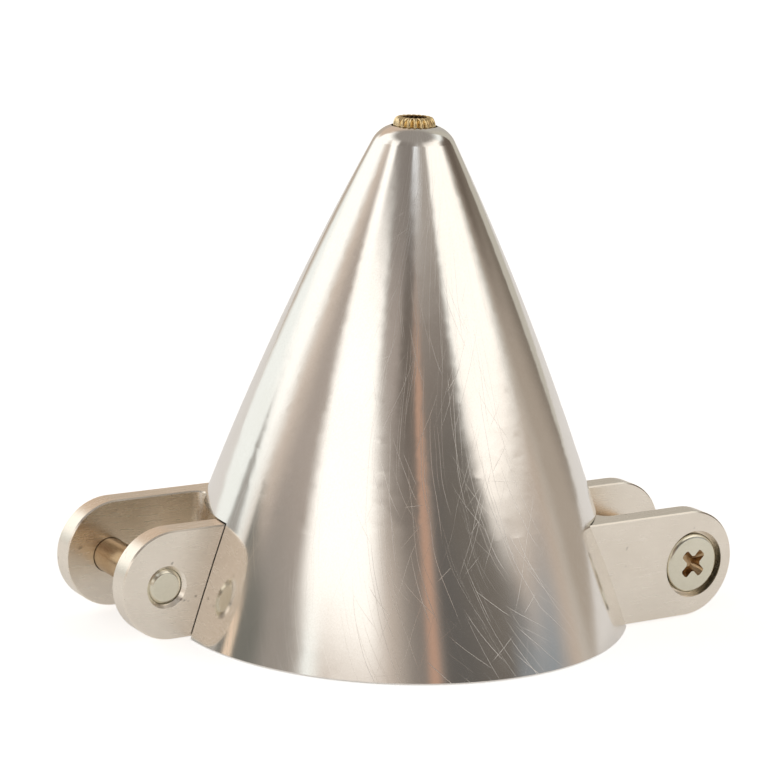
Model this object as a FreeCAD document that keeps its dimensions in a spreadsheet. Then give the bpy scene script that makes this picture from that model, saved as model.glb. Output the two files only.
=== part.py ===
"""Turned aluminium spinner for a two-blade folding propeller, with its offset blade yoke.

A hollow ogive cone covers a one-piece yoke. The yoke's two clevises stand side by side of the
shaft axis, one behind and one in front of it, and come out through slots in the cone's rim.
A cross-recess screw through each clevis is the blade's pivot. A split taper collet holds the
yoke on the motor shaft, a long nut pulls the collet in, and a small screw in the nose pulls
the cone down on that nut.

Frame: millimetres, +Z along the shaft towards the nose, Z = 0 at the cone's rim, +X along the
right-hand clevis. Everything but the hexagons is the same after half a turn about Z.
"""
import FreeCAD, Part
import math
import os
import Sketcher

SIZES = (
    # Cone: outside
    ("base_diameter", 40.0),       # across the rim
    ("cone_height", 42.3),         # rim to the turned flat that the nose is rounded from
    ("flank_top_radius", 2.77),    # flank's radius where it would meet that flat
    ("flank_bulge", 1.0),          # how far the flank swells out past a straight cone
    ("nose_round", 2.5),           # rounding between flank and nose
    ("rim_break", 0.15),           # chamfer on the rim's outer edge
    # Cone: inside
    ("cone_wall", 1.5),            # at the rim and at the cavity's roof
    ("nose_solid", 12.7),          # metal left above the cavity, down from the nose flat
    ("nose_recess_depth", 1.1),    # recess for the nose screw's head
    ("head_clearance", 0.15),      # round the nose screw's head
    ("slot_clearance", 0.1),       # between the cone's slots and the yoke
    # Yoke
    ("yoke_lift", 0.3),            # yoke's underside above the rim plane
    ("ear_height", 9.3),
    ("ear_thickness", 2.0),
    ("blade_gap", 8.5),            # between the two ears of a clevis
    ("clevis_offset", 6.6),        # clevis centre plane to the shaft axis
    ("ear_reach", 26.25),          # ear's tip from the shaft axis
    ("gap_floor", 13.5),           # bottom of the blade gap from the shaft axis
    ("gap_corner", 1.0),           # cutter radius in the gap's inner corners
    ("block_overlap", 3.0),        # how far each clevis block runs past the shaft axis
    ("edge_break", 0.12),          # chamfer on the ears' outlines
    ("hub_diameter", 16.0),
    ("hub_height", 11.0),          # hub's top above the rim plane
    # Blade screws
    ("pivot_to_tip", 4.05),        # pivot to the ear's tip
    ("pivot_drop", 0.1),           # pivot below the ear's middle
    ("shank_diameter", 3.0),
    ("shank_clearance", 0.05),     # radial, in the plain ear
    ("thread_clearance", 0.02),    # radial, in the tapped ear
    ("head_diameter", 5.1),
    ("head_height", 1.0),
    ("counterbore_diameter", 5.9),
    ("head_recess", 0.25),         # head's top below the ear's face
    ("tapped_chamfer", 0.3),       # at the mouth of the tapped hole
    ("screw_end_recess", 0.1),     # screw's end below the tapped ear's face
    ("screw_end_chamfer", 0.25),
    ("cross_length", 2.6),         # cross recess, tip to tip
    ("cross_width", 0.62),
    ("cross_depth", 0.75),
    # Collet
    ("shaft_diameter", 4.0),
    ("shaft_depth", 10.0),
    ("taper_bottom_diameter", 9.4),
    ("taper_top_diameter", 7.6),
    ("taper_clearance", 0.02),
    ("taper_setback", 0.5),        # sleeve's shoulder below the hub's top, so that it can pull in
    ("slit_width", 0.6),
    ("slit_height", 8.4),
    ("slit_count", 4.0),
    ("stud_diameter", 6.0),
    ("stud_length", 6.5),
    # Washer and nut
    ("washer_diameter", 12.5),
    ("washer_thickness", 0.8),
    ("nut_flats", 10.0),
    ("nut_height", 6.0),
    ("nut_stem_diameter", 7.5),
    ("nut_thread_margin", 0.8),    # tapped depth past the stud's end
    ("washer_clearance", 0.15),    # radial, round the stud
    # Nose screw
    ("nose_head_diameter", 3.6),
    ("nose_head_side", 0.85),      # straight side of the head, below its dome
    ("nose_head_height", 1.75),
    ("nose_head_top_diameter", 2.6),
    ("nose_socket_flats", 1.7),
    ("nose_socket_depth", 0.9),
    ("nose_shank_diameter", 2.0),
    ("nose_hole_clearance", 0.15), # radial, round the nose screw's shank
    ("nose_shank_length", 16.0),
    ("nose_tap_depth", 8.0),
)

PAST = 1.0                # how far a cutter runs past the face it starts or ends at
SAME_PLACE = 1e-4         # two places closer than this are the same
BEVEL_SLOPE = math.tan(math.radians(30))    # of the nut's bevelled corners


class Size:
    """A length together with the sheet expression that gives it."""

    def __init__(self, value, text):
        self.value = float(value)
        self.text = text

    @staticmethod
    def of(other):
        """Turns a plain number into a Size."""
        if isinstance(other, Size):
            return other
        return Size(other, repr(float(other)))

    def __add__(self, other):
        other = Size.of(other)
        return Size(self.value + other.value, "(%s + %s)" % (self.text, other.text))

    def __sub__(self, other):
        other = Size.of(other)
        return Size(self.value - other.value, "(%s - %s)" % (self.text, other.text))

    def __mul__(self, other):
        other = Size.of(other)
        return Size(self.value * other.value, "(%s * %s)" % (self.text, other.text))

    def __truediv__(self, other):
        other = Size.of(other)
        return Size(self.value / other.value, "(%s / %s)" % (self.text, other.text))

    def __neg__(self):
        return Size(-self.value, "(0 - %s)" % self.text)

    def root(self):
        """Square root."""
        return Size(math.sqrt(self.value), "sqrt(%s)" % self.text)


class Sizes:
    """The driving dimensions: one spreadsheet cell and one attribute each."""

    def __init__(self, doc, rows):
        self.sheet = doc.addObject("Spreadsheet::Sheet", "Sizes")
        for number, (alias, value) in enumerate(rows, start=1):
            cell = "A%d" % number
            self.sheet.set(cell, "%g" % value)
            self.sheet.setAlias(cell, alias)
            setattr(self, alias, Size(value, "Sizes." + alias))


doc = FreeCAD.newDocument("propeller_spinner")
sizes = Sizes(doc, SIZES)
doc.recompute()

ZERO = Size(0.0, "0")

# Places that several pieces share.
base_radius = sizes.base_diameter / 2
cavity_roof = sizes.cone_height - sizes.nose_solid
recess_floor = sizes.cone_height - sizes.nose_recess_depth
ear_bottom = sizes.yoke_lift
ear_top = sizes.yoke_lift + sizes.ear_height
ear_middle = sizes.yoke_lift + sizes.ear_height / 2
gap_half = sizes.blade_gap / 2
clevis_half = gap_half + sizes.ear_thickness
outer_face = sizes.clevis_offset + clevis_half       # ear faces, along Y, of the clevis at -X
outer_ear_inside = sizes.clevis_offset + gap_half
inner_ear_inside = sizes.clevis_offset - gap_half
inner_face = sizes.clevis_offset - clevis_half
pivot_x = sizes.pivot_to_tip - sizes.ear_reach   # pivot of the clevis at -X
pivot_height = ear_middle - sizes.pivot_drop
head_seat = outer_face - sizes.head_recess - sizes.head_height
hub_top = sizes.hub_height
nut_bottom = hub_top + sizes.washer_thickness
stud_top = hub_top + sizes.stud_length
tap_start = cavity_roof - sizes.nose_tap_depth

# The flank is one arc from the rim to the nose flat.
flank_run = base_radius - sizes.flank_top_radius
flank_chord = (flank_run * flank_run + sizes.cone_height * sizes.cone_height).root()
flank_half = flank_chord / 2
flank_radius = (flank_half * flank_half / sizes.flank_bulge + sizes.flank_bulge) / 2
flank_back = (flank_radius - sizes.flank_bulge) / flank_chord
flank_centre_r = (base_radius + sizes.flank_top_radius) / 2 - sizes.cone_height * flank_back
flank_centre_z = sizes.cone_height / 2 - flank_run * flank_back


def flank_at(height, inset):
    """Radius of the flank's arc, moved in by inset, at a height above the rim."""
    reach = flank_radius - inset
    rise = Size.of(height) - flank_centre_z
    return flank_centre_r + (reach * reach - rise * rise).root()


def bind(thing, path, size):
    """Drives one property or constraint from the sheet."""
    thing.setExpression(path, size.text)


def new_body(label):
    body = doc.addObject("PartDesign::Body", label)
    body.Label = label
    return body


def new_sketch(body, name, role, offset=ZERO):
    """A sketch on one of the body's own origin planes, moved along the plane's normal."""
    sketch = body.newObject("Sketcher::SketchObject", name)
    plane = [item for item in body.Origin.OriginFeatures if item.Role == role][0]
    sketch.AttachmentSupport = [(plane, "")]
    sketch.MapMode = "FlatFace"
    sketch.AttachmentOffset = FreeCAD.Placement(FreeCAD.Vector(0, 0, offset.value), FreeCAD.Rotation())
    bind(sketch, "AttachmentOffset.Base.z", offset)
    return sketch


def fix_point(sketch, geometry, end, place):
    """Dimensions one end of a sketch line or arc from the origin."""
    for kind, size in (("DistanceX", place[0]), ("DistanceY", place[1])):
        size = Size.of(size)
        index = sketch.addConstraint(Sketcher.Constraint(kind, geometry, end, size.value))
        bind(sketch, "Constraints[%d]" % index, size)


def vector(place):
    return FreeCAD.Vector(Size.of(place[0]).value, Size.of(place[1]).value, 0)


def draw_outline(sketch, corners, arcs=None):
    """A closed outline through the corners.

    arcs gives, for a side's number, the centre and radius of the arc that the side follows.
    """
    arcs = arcs or {}
    sides = []
    for number, corner in enumerate(corners):
        start = vector(corner)
        end = vector(corners[(number + 1) % len(corners)])
        if number in arcs:
            centre, radius = arcs[number]
            middle = (start + end) / 2 - vector(centre)
            if middle.Length < 1e-6:
                middle = FreeCAD.Vector(end.y - start.y, start.x - end.x, 0)
            crown = vector(centre) + middle.normalize() * radius.value
            shape = Part.Arc(start, crown, end)
        else:
            shape = Part.LineSegment(start, end)
        sides.append(sketch.addGeometry(shape, False))
    for number, corner in enumerate(corners):
        side = sides[number]
        reversed_arc = number in arcs and not starts_at(sketch, side, vector(corner))
        fix_point(sketch, side, 2 if reversed_arc else 1, corner)
        join_next(sketch, sides, arcs, number, corners)
        if number in arcs:
            across = Size.of(arcs[number][0][0])
            index = sketch.addConstraint(Sketcher.Constraint("DistanceX", side, 3, across.value))
            bind(sketch, "Constraints[%d]" % index, across)
    return sides


def starts_at(sketch, side, place):
    """Whether a side's own first end lies at the place: an arc is stored anticlockwise."""
    return (sketch.getPoint(side, 1) - place).Length < (sketch.getPoint(side, 2) - place).Length


def join_next(sketch, sides, arcs, number, corners):
    """Joins a side's far end to the next side's near end."""
    following = (number + 1) % len(sides)
    meeting = vector(corners[following])
    this_end = 1 if starts_at(sketch, sides[number], meeting) else 2
    next_end = 1 if starts_at(sketch, sides[following], meeting) else 2
    sketch.addConstraint(
        Sketcher.Constraint("Coincident", sides[number], this_end, sides[following], next_end)
    )


def draw_box(sketch, low, high):
    """A rectangle from its low corner to its high corner."""
    return draw_outline(sketch, (low, (high[0], low[1]), high, (low[0], high[1])))


def draw_circle(sketch, centre, radius):
    circle = sketch.addGeometry(
        Part.Circle(vector(centre), FreeCAD.Vector(0, 0, 1), radius.value), False
    )
    fix_point(sketch, circle, 3, centre)
    index = sketch.addConstraint(Sketcher.Constraint("Radius", circle, radius.value))
    bind(sketch, "Constraints[%d]" % index, radius)


def draw_hexagon(sketch, flats):
    """A hexagon round the origin, with flats facing +X and -X."""
    reach = flats / math.sqrt(3.0)
    corners = []
    for step in range(6):
        turn = math.radians(30 + 60 * step)
        corners.append((reach * math.cos(turn), reach * math.sin(turn)))
    draw_outline(sketch, corners)


def check(feature):
    """Recomputes and stops on a feature that failed."""
    doc.recompute()
    if "Invalid" in feature.State or "Error" in feature.State or feature.Shape.isNull():
        raise RuntimeError("%s failed: %s" % (feature.Name, feature.State))
    return feature


def turn_profile(body, kind, name, sketch, axis="V_Axis"):
    """A Revolution or a Groove of the sketch, a full turn about one of its axes."""
    feature = body.newObject("PartDesign::" + kind, name)
    feature.Profile = sketch
    feature.ReferenceAxis = (sketch, [axis])
    feature.Angle = 360
    return cut_checked(body, feature, kind == "Groove")


def extrude(body, kind, name, sketch, length, side="One side", reverse=False):
    """A Pad or a Pocket of the sketch."""
    feature = body.newObject("PartDesign::" + kind, name)
    feature.Profile = sketch
    feature.SideType = side
    feature.Reversed = reverse
    feature.Length = length.value
    bind(feature, "Length", length)
    return cut_checked(body, feature, kind == "Pocket")


def cut_checked(body, feature, cuts):
    """Checks a new feature, and that a cut took something away."""
    before = feature.BaseFeature.Shape.Volume if feature.BaseFeature else 0.0
    check(feature)
    change = feature.Shape.Volume - before
    if (cuts and change > -1e-6) or (not cuts and change < 1e-6):
        raise RuntimeError("%s changed nothing" % feature.Name)
    return feature


def spread(body, name, originals, count, whole=False):
    """Repeats features, or the whole body so far, round the Z axis."""
    pattern = body.newObject("PartDesign::PolarPattern", name)
    if whole:
        pattern.TransformMode = "Whole shape"
    else:
        pattern.Originals = originals
    axis = [item for item in body.Origin.OriginFeatures if item.Role == "Z_Axis"][0]
    pattern.Axis = (axis, [""])
    pattern.Angle = 360
    pattern.Occurrences = int(round(count.value))
    bind(pattern, "Occurrences", count)
    body.Tip = pattern
    return check(pattern)


def edges_where(feature, test):
    """Names of the feature's edges that pass the test."""
    names = []
    for number, edge in enumerate(feature.Shape.Edges, start=1):
        if test(edge):
            names.append("Edge%d" % number)
    if not names:
        raise RuntimeError("no edge found on %s" % feature.Name)
    return names


def dress(body, kind, name, base, test, size):
    """A Fillet or a Chamfer on the edges of base that pass the test."""
    feature = body.newObject("PartDesign::" + kind, name)
    feature.Base = (base, edges_where(base, test))
    path = "Radius" if kind == "Fillet" else "Size"
    setattr(feature, path, size.value)
    bind(feature, path, size)
    return check(feature)


TWO = Size(2, "2")


def make_spinner_cone():
    """Turned shell: flank, rounded nose, tapered cavity, nose recess and hole, and two rim slots."""
    body = new_body("spinner_cone")
    head_bore = sizes.nose_head_diameter / 2 + sizes.head_clearance
    shank_bore = sizes.nose_shank_diameter / 2 + sizes.nose_hole_clearance
    flank_centre = (flank_centre_r, flank_centre_z)

    # The nose arc touches the flank from inside and the nose flat from below.
    nose_centre_z = sizes.cone_height - sizes.nose_round
    reach = flank_radius - sizes.nose_round
    rise = nose_centre_z - flank_centre_z
    nose_centre_r = flank_centre_r + (reach * reach - rise * rise).root()
    blend = flank_radius / reach
    blend_r = flank_centre_r + (nose_centre_r - flank_centre_r) * blend
    blend_z = flank_centre_z + rise * blend
    lip_run = head_bore - nose_centre_r
    lip_height = nose_centre_z + (sizes.nose_round * sizes.nose_round - lip_run * lip_run).root()

    # The flank is drawn as two arcs of one circle, which meet above the slots.
    slot_top = ear_top + sizes.slot_clearance
    band_top = slot_top + PAST

    section = new_sketch(body, "shell_section", "XZ_Plane")
    draw_outline(
        section,
        (
            (base_radius - sizes.rim_break, ZERO),
            (flank_at(sizes.rim_break, ZERO), sizes.rim_break),
            (flank_at(band_top, ZERO), band_top),
            (blend_r, blend_z),
            (head_bore, lip_height),
            (head_bore, recess_floor),
            (shank_bore, recess_floor),
            (shank_bore, cavity_roof),
            (flank_at(cavity_roof, sizes.cone_wall), cavity_roof),
            (flank_at(ZERO, sizes.cone_wall), ZERO),
        ),
        {
            1: (flank_centre, flank_radius),
            2: (flank_centre, flank_radius),
            3: ((nose_centre_r, nose_centre_z), sizes.nose_round),
        },
    )
    turn_profile(body, "Revolution", "turned_shell", section)

    slot_plan = new_sketch(body, "slot_plan", "XY_Plane")
    draw_box(
        slot_plan,
        (-(base_radius + PAST), inner_face - sizes.slot_clearance),
        (ZERO, outer_face + sizes.slot_clearance),
    )
    slot = extrude(body, "Pocket", "rim_slot", slot_plan, slot_top, reverse=True)
    spread(body, "rim_slots", [slot], TWO)
    return body


def make_blade_yoke():
    """One milled piece: two clevises, half a turn apart, on a hub with a tapered bore."""
    body = new_body("blade_yoke")
    side = new_sketch(body, "clevis_side", "XZ_Plane", -sizes.clevis_offset)
    arc_centre = sizes.ear_reach - sizes.ear_height / 2
    draw_outline(
        side,
        (
            (sizes.block_overlap, ear_bottom),
            (sizes.block_overlap, ear_top),
            (-arc_centre, ear_top),
            (-arc_centre, ear_bottom),
        ),
        {2: ((-arc_centre, ear_middle), sizes.ear_height / 2)},
    )
    block = extrude(body, "Pad", "clevis_block", side, clevis_half * 2, side="Symmetric")

    plan = new_sketch(body, "blade_gap_plan", "XY_Plane")
    draw_box(plan, (-(sizes.ear_reach + PAST), inner_ear_inside), (-sizes.gap_floor, outer_ear_inside))
    gap = extrude(body, "Pocket", "blade_gap_cut", plan, ear_top + PAST, reverse=True)

    def gap_corners(edge):
        box = edge.BoundBox
        upright = box.XLength < SAME_PLACE and box.YLength < SAME_PLACE
        return upright and abs(box.XMin + sizes.gap_floor.value) < SAME_PLACE

    rounded = dress(body, "Fillet", "gap_corner_rounding", gap, gap_corners, sizes.gap_corner)

    def ear_outline(edge):
        """The outlines of the ears' four faces, and of the gap between them."""
        box = edge.BoundBox
        faces = (inner_face, inner_ear_inside, outer_ear_inside, outer_face)
        on_face = box.YLength < SAME_PLACE and any(
            abs(box.YMin - face.value) < SAME_PLACE for face in faces
        )
        level = box.ZLength < SAME_PLACE
        gap_end = sizes.gap_floor + sizes.gap_corner
        in_gap = (
            box.XMin > -gap_end.value - SAME_PLACE
            and box.XMax < -sizes.gap_floor.value + SAME_PLACE
        )
        outside = box.XMin < sizes.block_overlap.value - SAME_PLACE
        return (on_face and outside) or (level and in_gap)

    dress(body, "Chamfer", "ear_edge_break", rounded, ear_outline, sizes.edge_break)

    bore = new_sketch(body, "pivot_bore_profile", "XY_Plane", pivot_height)
    plain = sizes.shank_diameter / 2 + sizes.shank_clearance
    tapped = sizes.shank_diameter / 2 + sizes.thread_clearance
    mouth = tapped + sizes.tapped_chamfer
    seat = sizes.counterbore_diameter / 2
    draw_outline(
        bore,
        (
            (pivot_x, inner_face - PAST),
            (pivot_x + mouth, inner_face - PAST),
            (pivot_x + mouth, inner_face),
            (pivot_x + tapped, inner_face + sizes.tapped_chamfer),
            (pivot_x + tapped, sizes.clevis_offset),
            (pivot_x + plain, sizes.clevis_offset),
            (pivot_x + plain, head_seat),
            (pivot_x + seat, head_seat),
            (pivot_x + seat, outer_face + PAST),
            (pivot_x, outer_face + PAST),
        ),
    )
    add_axis(bore, pivot_x)
    turn_profile(body, "Groove", "pivot_bore", bore, "Axis0")
    spread(body, "both_clevises", [], TWO, whole=True)

    hub_plan = new_sketch(body, "hub_plan", "XY_Plane", ear_bottom)
    draw_circle(hub_plan, (ZERO, ZERO), sizes.hub_diameter / 2)
    extrude(body, "Pad", "hub", hub_plan, hub_top - ear_bottom)

    taper = new_sketch(body, "taper_profile", "XZ_Plane")
    draw_outline(
        taper,
        (
            (ZERO, ear_bottom),
            (sizes.taper_bottom_diameter / 2, ear_bottom),
            (sizes.taper_top_diameter / 2, hub_top),
            (ZERO, hub_top),
        ),
    )
    turn_profile(body, "Groove", "tapered_bore", taper)
    return body


def add_axis(sketch, offset):
    """A construction line along the sketch's Y, at that X, to turn a profile about."""
    low = (offset, ZERO)
    high = (offset, sizes.ear_height)
    line = sketch.addGeometry(Part.LineSegment(vector(low), vector(high)), True)
    fix_point(sketch, line, 1, low)
    fix_point(sketch, line, 2, high)


def make_blade_screw(label, half_turn):
    """Fitted screw: cylindrical head with a cross recess, plain shank, threaded end."""
    body = new_body(label)
    profile = new_sketch(body, "screw_profile", "XY_Plane", pivot_height)
    shank = sizes.shank_diameter / 2
    head = sizes.head_diameter / 2
    tip = inner_face + sizes.screw_end_recess
    top = outer_face - sizes.head_recess
    draw_outline(
        profile,
        (
            (pivot_x, tip),
            (pivot_x + shank - sizes.screw_end_chamfer, tip),
            (pivot_x + shank, tip + sizes.screw_end_chamfer),
            (pivot_x + shank, head_seat),
            (pivot_x + head, head_seat),
            (pivot_x + head, top - sizes.edge_break),
            (pivot_x + head - sizes.edge_break, top),
            (pivot_x, top),
        ),
    )
    add_axis(profile, pivot_x)
    turn_profile(body, "Revolution", "turned_screw", profile, "Axis0")

    recess = new_sketch(body, "cross_recess_plan", "XZ_Plane", -top)
    arm = sizes.cross_length / 2
    half = sizes.cross_width / 2
    diagonal = math.sqrt(0.5)

    def turned(along, across):
        return (
            pivot_x + (along - across) * diagonal,
            pivot_height + (along + across) * diagonal,
        )

    draw_outline(
        recess,
        (
            turned(arm, -half), turned(arm, half), turned(half, half),
            turned(half, arm), turned(-half, arm), turned(-half, half),
            turned(-arm, half), turned(-arm, -half), turned(-half, -half),
            turned(-half, -arm), turned(half, -arm), turned(half, -half),
        ),
    )
    extrude(body, "Pocket", "cross_recess", recess, sizes.cross_depth, reverse=True)
    body.Placement = FreeCAD.Placement(
        FreeCAD.Vector(0, 0, 0), FreeCAD.Rotation(FreeCAD.Vector(0, 0, 1), 180 if half_turn else 0)
    )
    return body


def make_shaft_collet():
    """Split taper sleeve with a threaded stud in front."""
    body = new_body("shaft_collet")
    profile = new_sketch(body, "collet_profile", "XZ_Plane")
    shaft = sizes.shaft_diameter / 2
    bore_end = ear_bottom + sizes.shaft_depth
    shoulder = hub_top - sizes.taper_setback
    slope = (sizes.taper_bottom_diameter - sizes.taper_top_diameter) / 2 / (hub_top - ear_bottom)
    draw_outline(
        profile,
        (
            (shaft, ear_bottom),
            (sizes.taper_bottom_diameter / 2 - sizes.taper_clearance, ear_bottom),
            (sizes.taper_top_diameter / 2 - sizes.taper_clearance + slope * sizes.taper_setback, shoulder),
            (sizes.stud_diameter / 2, shoulder),
            (sizes.stud_diameter / 2, stud_top),
            (ZERO, stud_top),
            (ZERO, bore_end),
            (shaft, bore_end),
        ),
    )
    turn_profile(body, "Revolution", "turned_collet", profile)
    plan = new_sketch(body, "slit_plan", "XY_Plane", ear_bottom)
    half = sizes.slit_width / 2
    draw_box(plan, (ZERO, -half), (sizes.taper_bottom_diameter, half))
    slit = extrude(body, "Pocket", "slit", plan, sizes.slit_height, reverse=True)
    spread(body, "slits", [slit], sizes.slit_count)
    return body


def make_clamp_washer():
    """Flat washer between hub and nut."""
    body = new_body("clamp_washer")
    plan = new_sketch(body, "washer_plan", "XY_Plane", hub_top)
    draw_circle(plan, (ZERO, ZERO), sizes.washer_diameter / 2)
    draw_circle(plan, (ZERO, ZERO), sizes.stud_diameter / 2 + sizes.washer_clearance)
    extrude(body, "Pad", "washer_blank", plan, sizes.washer_thickness)
    return body


def make_clamp_nut():
    """Hexagon nut with a long stem that carries the cone and takes the nose screw."""
    body = new_body("clamp_nut")
    plan = new_sketch(body, "hexagon_plan", "XY_Plane", nut_bottom)
    draw_hexagon(plan, sizes.nut_flats)
    extrude(body, "Pad", "hexagon", plan, sizes.nut_height)
    nut_top = nut_bottom + sizes.nut_height
    stem_plan = new_sketch(body, "stem_plan", "XY_Plane", nut_top)
    draw_circle(stem_plan, (ZERO, ZERO), sizes.nut_stem_diameter / 2)
    extrude(body, "Pad", "stem", stem_plan, cavity_roof - nut_top)

    # The cutter's lower side climbs inwards from the hexagon's corners to its flats.
    corner = sizes.nut_flats / math.sqrt(3.0)
    flat = sizes.nut_flats / 2
    outside = corner + PAST
    bevel = new_sketch(body, "corner_bevel_profile", "XZ_Plane")
    draw_outline(
        bevel,
        (
            (flat, nut_top),
            (outside, nut_top - (outside - flat) * BEVEL_SLOPE),
            (outside, nut_top),
        ),
    )
    turn_profile(body, "Groove", "corner_bevel", bevel)

    bores = new_sketch(body, "nut_bore_profile", "XZ_Plane")
    thread = sizes.stud_diameter / 2 + sizes.thread_clearance
    tap = sizes.nose_shank_diameter / 2 + sizes.thread_clearance
    thread_end = stud_top + sizes.nut_thread_margin
    draw_outline(
        bores,
        ((ZERO, nut_bottom), (thread, nut_bottom), (thread, thread_end), (ZERO, thread_end)),
    )
    turn_profile(body, "Groove", "stud_bore", bores)
    tapping = new_sketch(body, "nose_tap_profile", "XZ_Plane")
    draw_outline(
        tapping,
        ((ZERO, tap_start), (tap, tap_start), (tap, cavity_roof), (ZERO, cavity_roof)),
    )
    turn_profile(body, "Groove", "nose_tap", tapping)
    return body


def make_nose_screw():
    """Domed socket screw in the nose recess."""
    body = new_body("nose_screw")
    profile = new_sketch(body, "nose_screw_profile", "XZ_Plane")
    shank = sizes.nose_shank_diameter / 2
    head = sizes.nose_head_diameter / 2
    top = recess_floor + sizes.nose_head_height
    side_top = recess_floor + sizes.nose_head_side
    top_radius = sizes.nose_head_top_diameter / 2
    tip = recess_floor - sizes.nose_shank_length
    # The dome's arc leaves the straight side upright, so its centre is level with that side's top.
    step = head - top_radius
    rise = top - side_top
    dome_radius = (step * step + rise * rise) / (step * 2)
    draw_outline(
        profile,
        (
            (ZERO, tip),
            (shank, tip),
            (shank, recess_floor),
            (head, recess_floor),
            (head, side_top),
            (top_radius, top),
            (ZERO, top),
        ),
        {4: ((head - dome_radius, side_top), dome_radius)},
    )
    turn_profile(body, "Revolution", "turned_nose_screw", profile)
    plan = new_sketch(body, "nose_socket_plan", "XY_Plane", top)
    draw_hexagon(plan, sizes.nose_socket_flats)
    extrude(body, "Pocket", "nose_socket", plan, sizes.nose_socket_depth)
    return body


def main():
    bodies = (
        make_spinner_cone(),
        make_blade_yoke(),
        make_blade_screw("blade_screw_left", False),
        make_blade_screw("blade_screw_right", True),
        make_shaft_collet(),
        make_clamp_washer(),
        make_clamp_nut(),
        make_nose_screw(),
    )
    doc.recompute()
    for item in doc.Objects:
        if "Invalid" in item.State or "Error" in item.State:
            raise RuntimeError("%s: %s" % (item.Name, item.State))
    os.makedirs("parts", exist_ok=True)
    for body in bodies:
        shape = body.Shape
        if shape.isNull() or not shape.isValid() or len(shape.Solids) != 1:
            raise RuntimeError("%s is not one valid solid" % body.Label)
        shape.exportStep(os.path.join("parts", body.Label + ".step"))
        print("%-20s %8.1f mm3" % (body.Label, shape.Volume))


main()
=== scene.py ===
"""Dresses the folding-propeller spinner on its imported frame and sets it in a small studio.

The frame's solids keep their places.  Each sub-assembly is a class: it builds what the frame's
solids lack, gives every piece its finish, and reports what it did through the log.  Lengths are
in metres, written in millimetres times MM, and angles in the finishes and the room are degrees.
"""
import logging
import math
from dataclasses import dataclass, field
from enum import Enum
from functools import partial
from typing import Callable, Optional, Sequence, Union

import bpy
from mathutils import Matrix, Vector

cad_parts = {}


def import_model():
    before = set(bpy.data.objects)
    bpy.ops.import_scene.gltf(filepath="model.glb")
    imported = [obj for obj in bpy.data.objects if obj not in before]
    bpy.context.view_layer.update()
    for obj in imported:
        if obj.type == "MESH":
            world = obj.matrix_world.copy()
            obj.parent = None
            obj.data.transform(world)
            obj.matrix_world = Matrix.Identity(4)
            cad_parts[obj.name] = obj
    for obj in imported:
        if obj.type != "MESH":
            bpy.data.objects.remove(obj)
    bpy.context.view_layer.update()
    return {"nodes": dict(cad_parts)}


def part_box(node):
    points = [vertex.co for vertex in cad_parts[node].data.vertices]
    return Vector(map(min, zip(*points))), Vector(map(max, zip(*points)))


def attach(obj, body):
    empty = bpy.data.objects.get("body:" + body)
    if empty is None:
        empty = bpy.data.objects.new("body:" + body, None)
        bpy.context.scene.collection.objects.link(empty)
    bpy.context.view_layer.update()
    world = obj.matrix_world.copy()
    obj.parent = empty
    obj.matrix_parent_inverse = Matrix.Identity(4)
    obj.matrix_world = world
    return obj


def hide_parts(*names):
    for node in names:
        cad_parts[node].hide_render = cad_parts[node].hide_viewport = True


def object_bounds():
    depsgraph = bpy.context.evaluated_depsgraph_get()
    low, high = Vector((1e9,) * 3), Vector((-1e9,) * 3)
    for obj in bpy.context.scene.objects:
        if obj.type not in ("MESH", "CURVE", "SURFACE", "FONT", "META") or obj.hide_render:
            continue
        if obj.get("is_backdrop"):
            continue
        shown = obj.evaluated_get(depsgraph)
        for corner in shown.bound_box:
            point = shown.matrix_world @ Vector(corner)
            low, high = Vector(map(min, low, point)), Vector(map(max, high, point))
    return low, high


LOG = logging.getLogger("spinner")
MM = 0.001
BODY = "root"
ZENITH = 90.0                       # height of a card's top that has no upper edge
FLOOR_SIDE = -10.0                  # height of a card's bottom that has no lower edge
SHARP_ANGLE = math.radians(32.0)    # edges that turn more than this stay sharp

Socket = bpy.types.NodeSocket
Value = Union[float, Socket]
Colour = tuple[float, float, float]
Point = tuple[float, float]
Outline = Sequence[Point]
Swell = Callable[[float, float, float], float]


class Slot(Enum):
    """The record's material slots."""

    POLISHED = "polished_aluminium"
    MILLED = "milled_aluminium"
    PLATED = "plated_steel"
    YELLOW = "yellow_steel"


def polar(radius: float, angle: float) -> Point:
    """The point at a radius and an angle."""
    return radius * math.cos(angle), radius * math.sin(angle)


def even_angles(count: int) -> list[float]:
    """Angles in radians that share out a full turn."""
    return [math.tau * step / count for step in range(count)]


def rotated(point: Point, angle: float) -> Point:
    """A point turned about the origin."""
    x, y = point
    return x * math.cos(angle) - y * math.sin(angle), x * math.sin(angle) + y * math.cos(angle)


def share_of(value: float, reach: float) -> float:
    """A value as a share of its reach, held between 0 and 1."""
    return min(1.0, max(0.0, value / reach))


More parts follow.
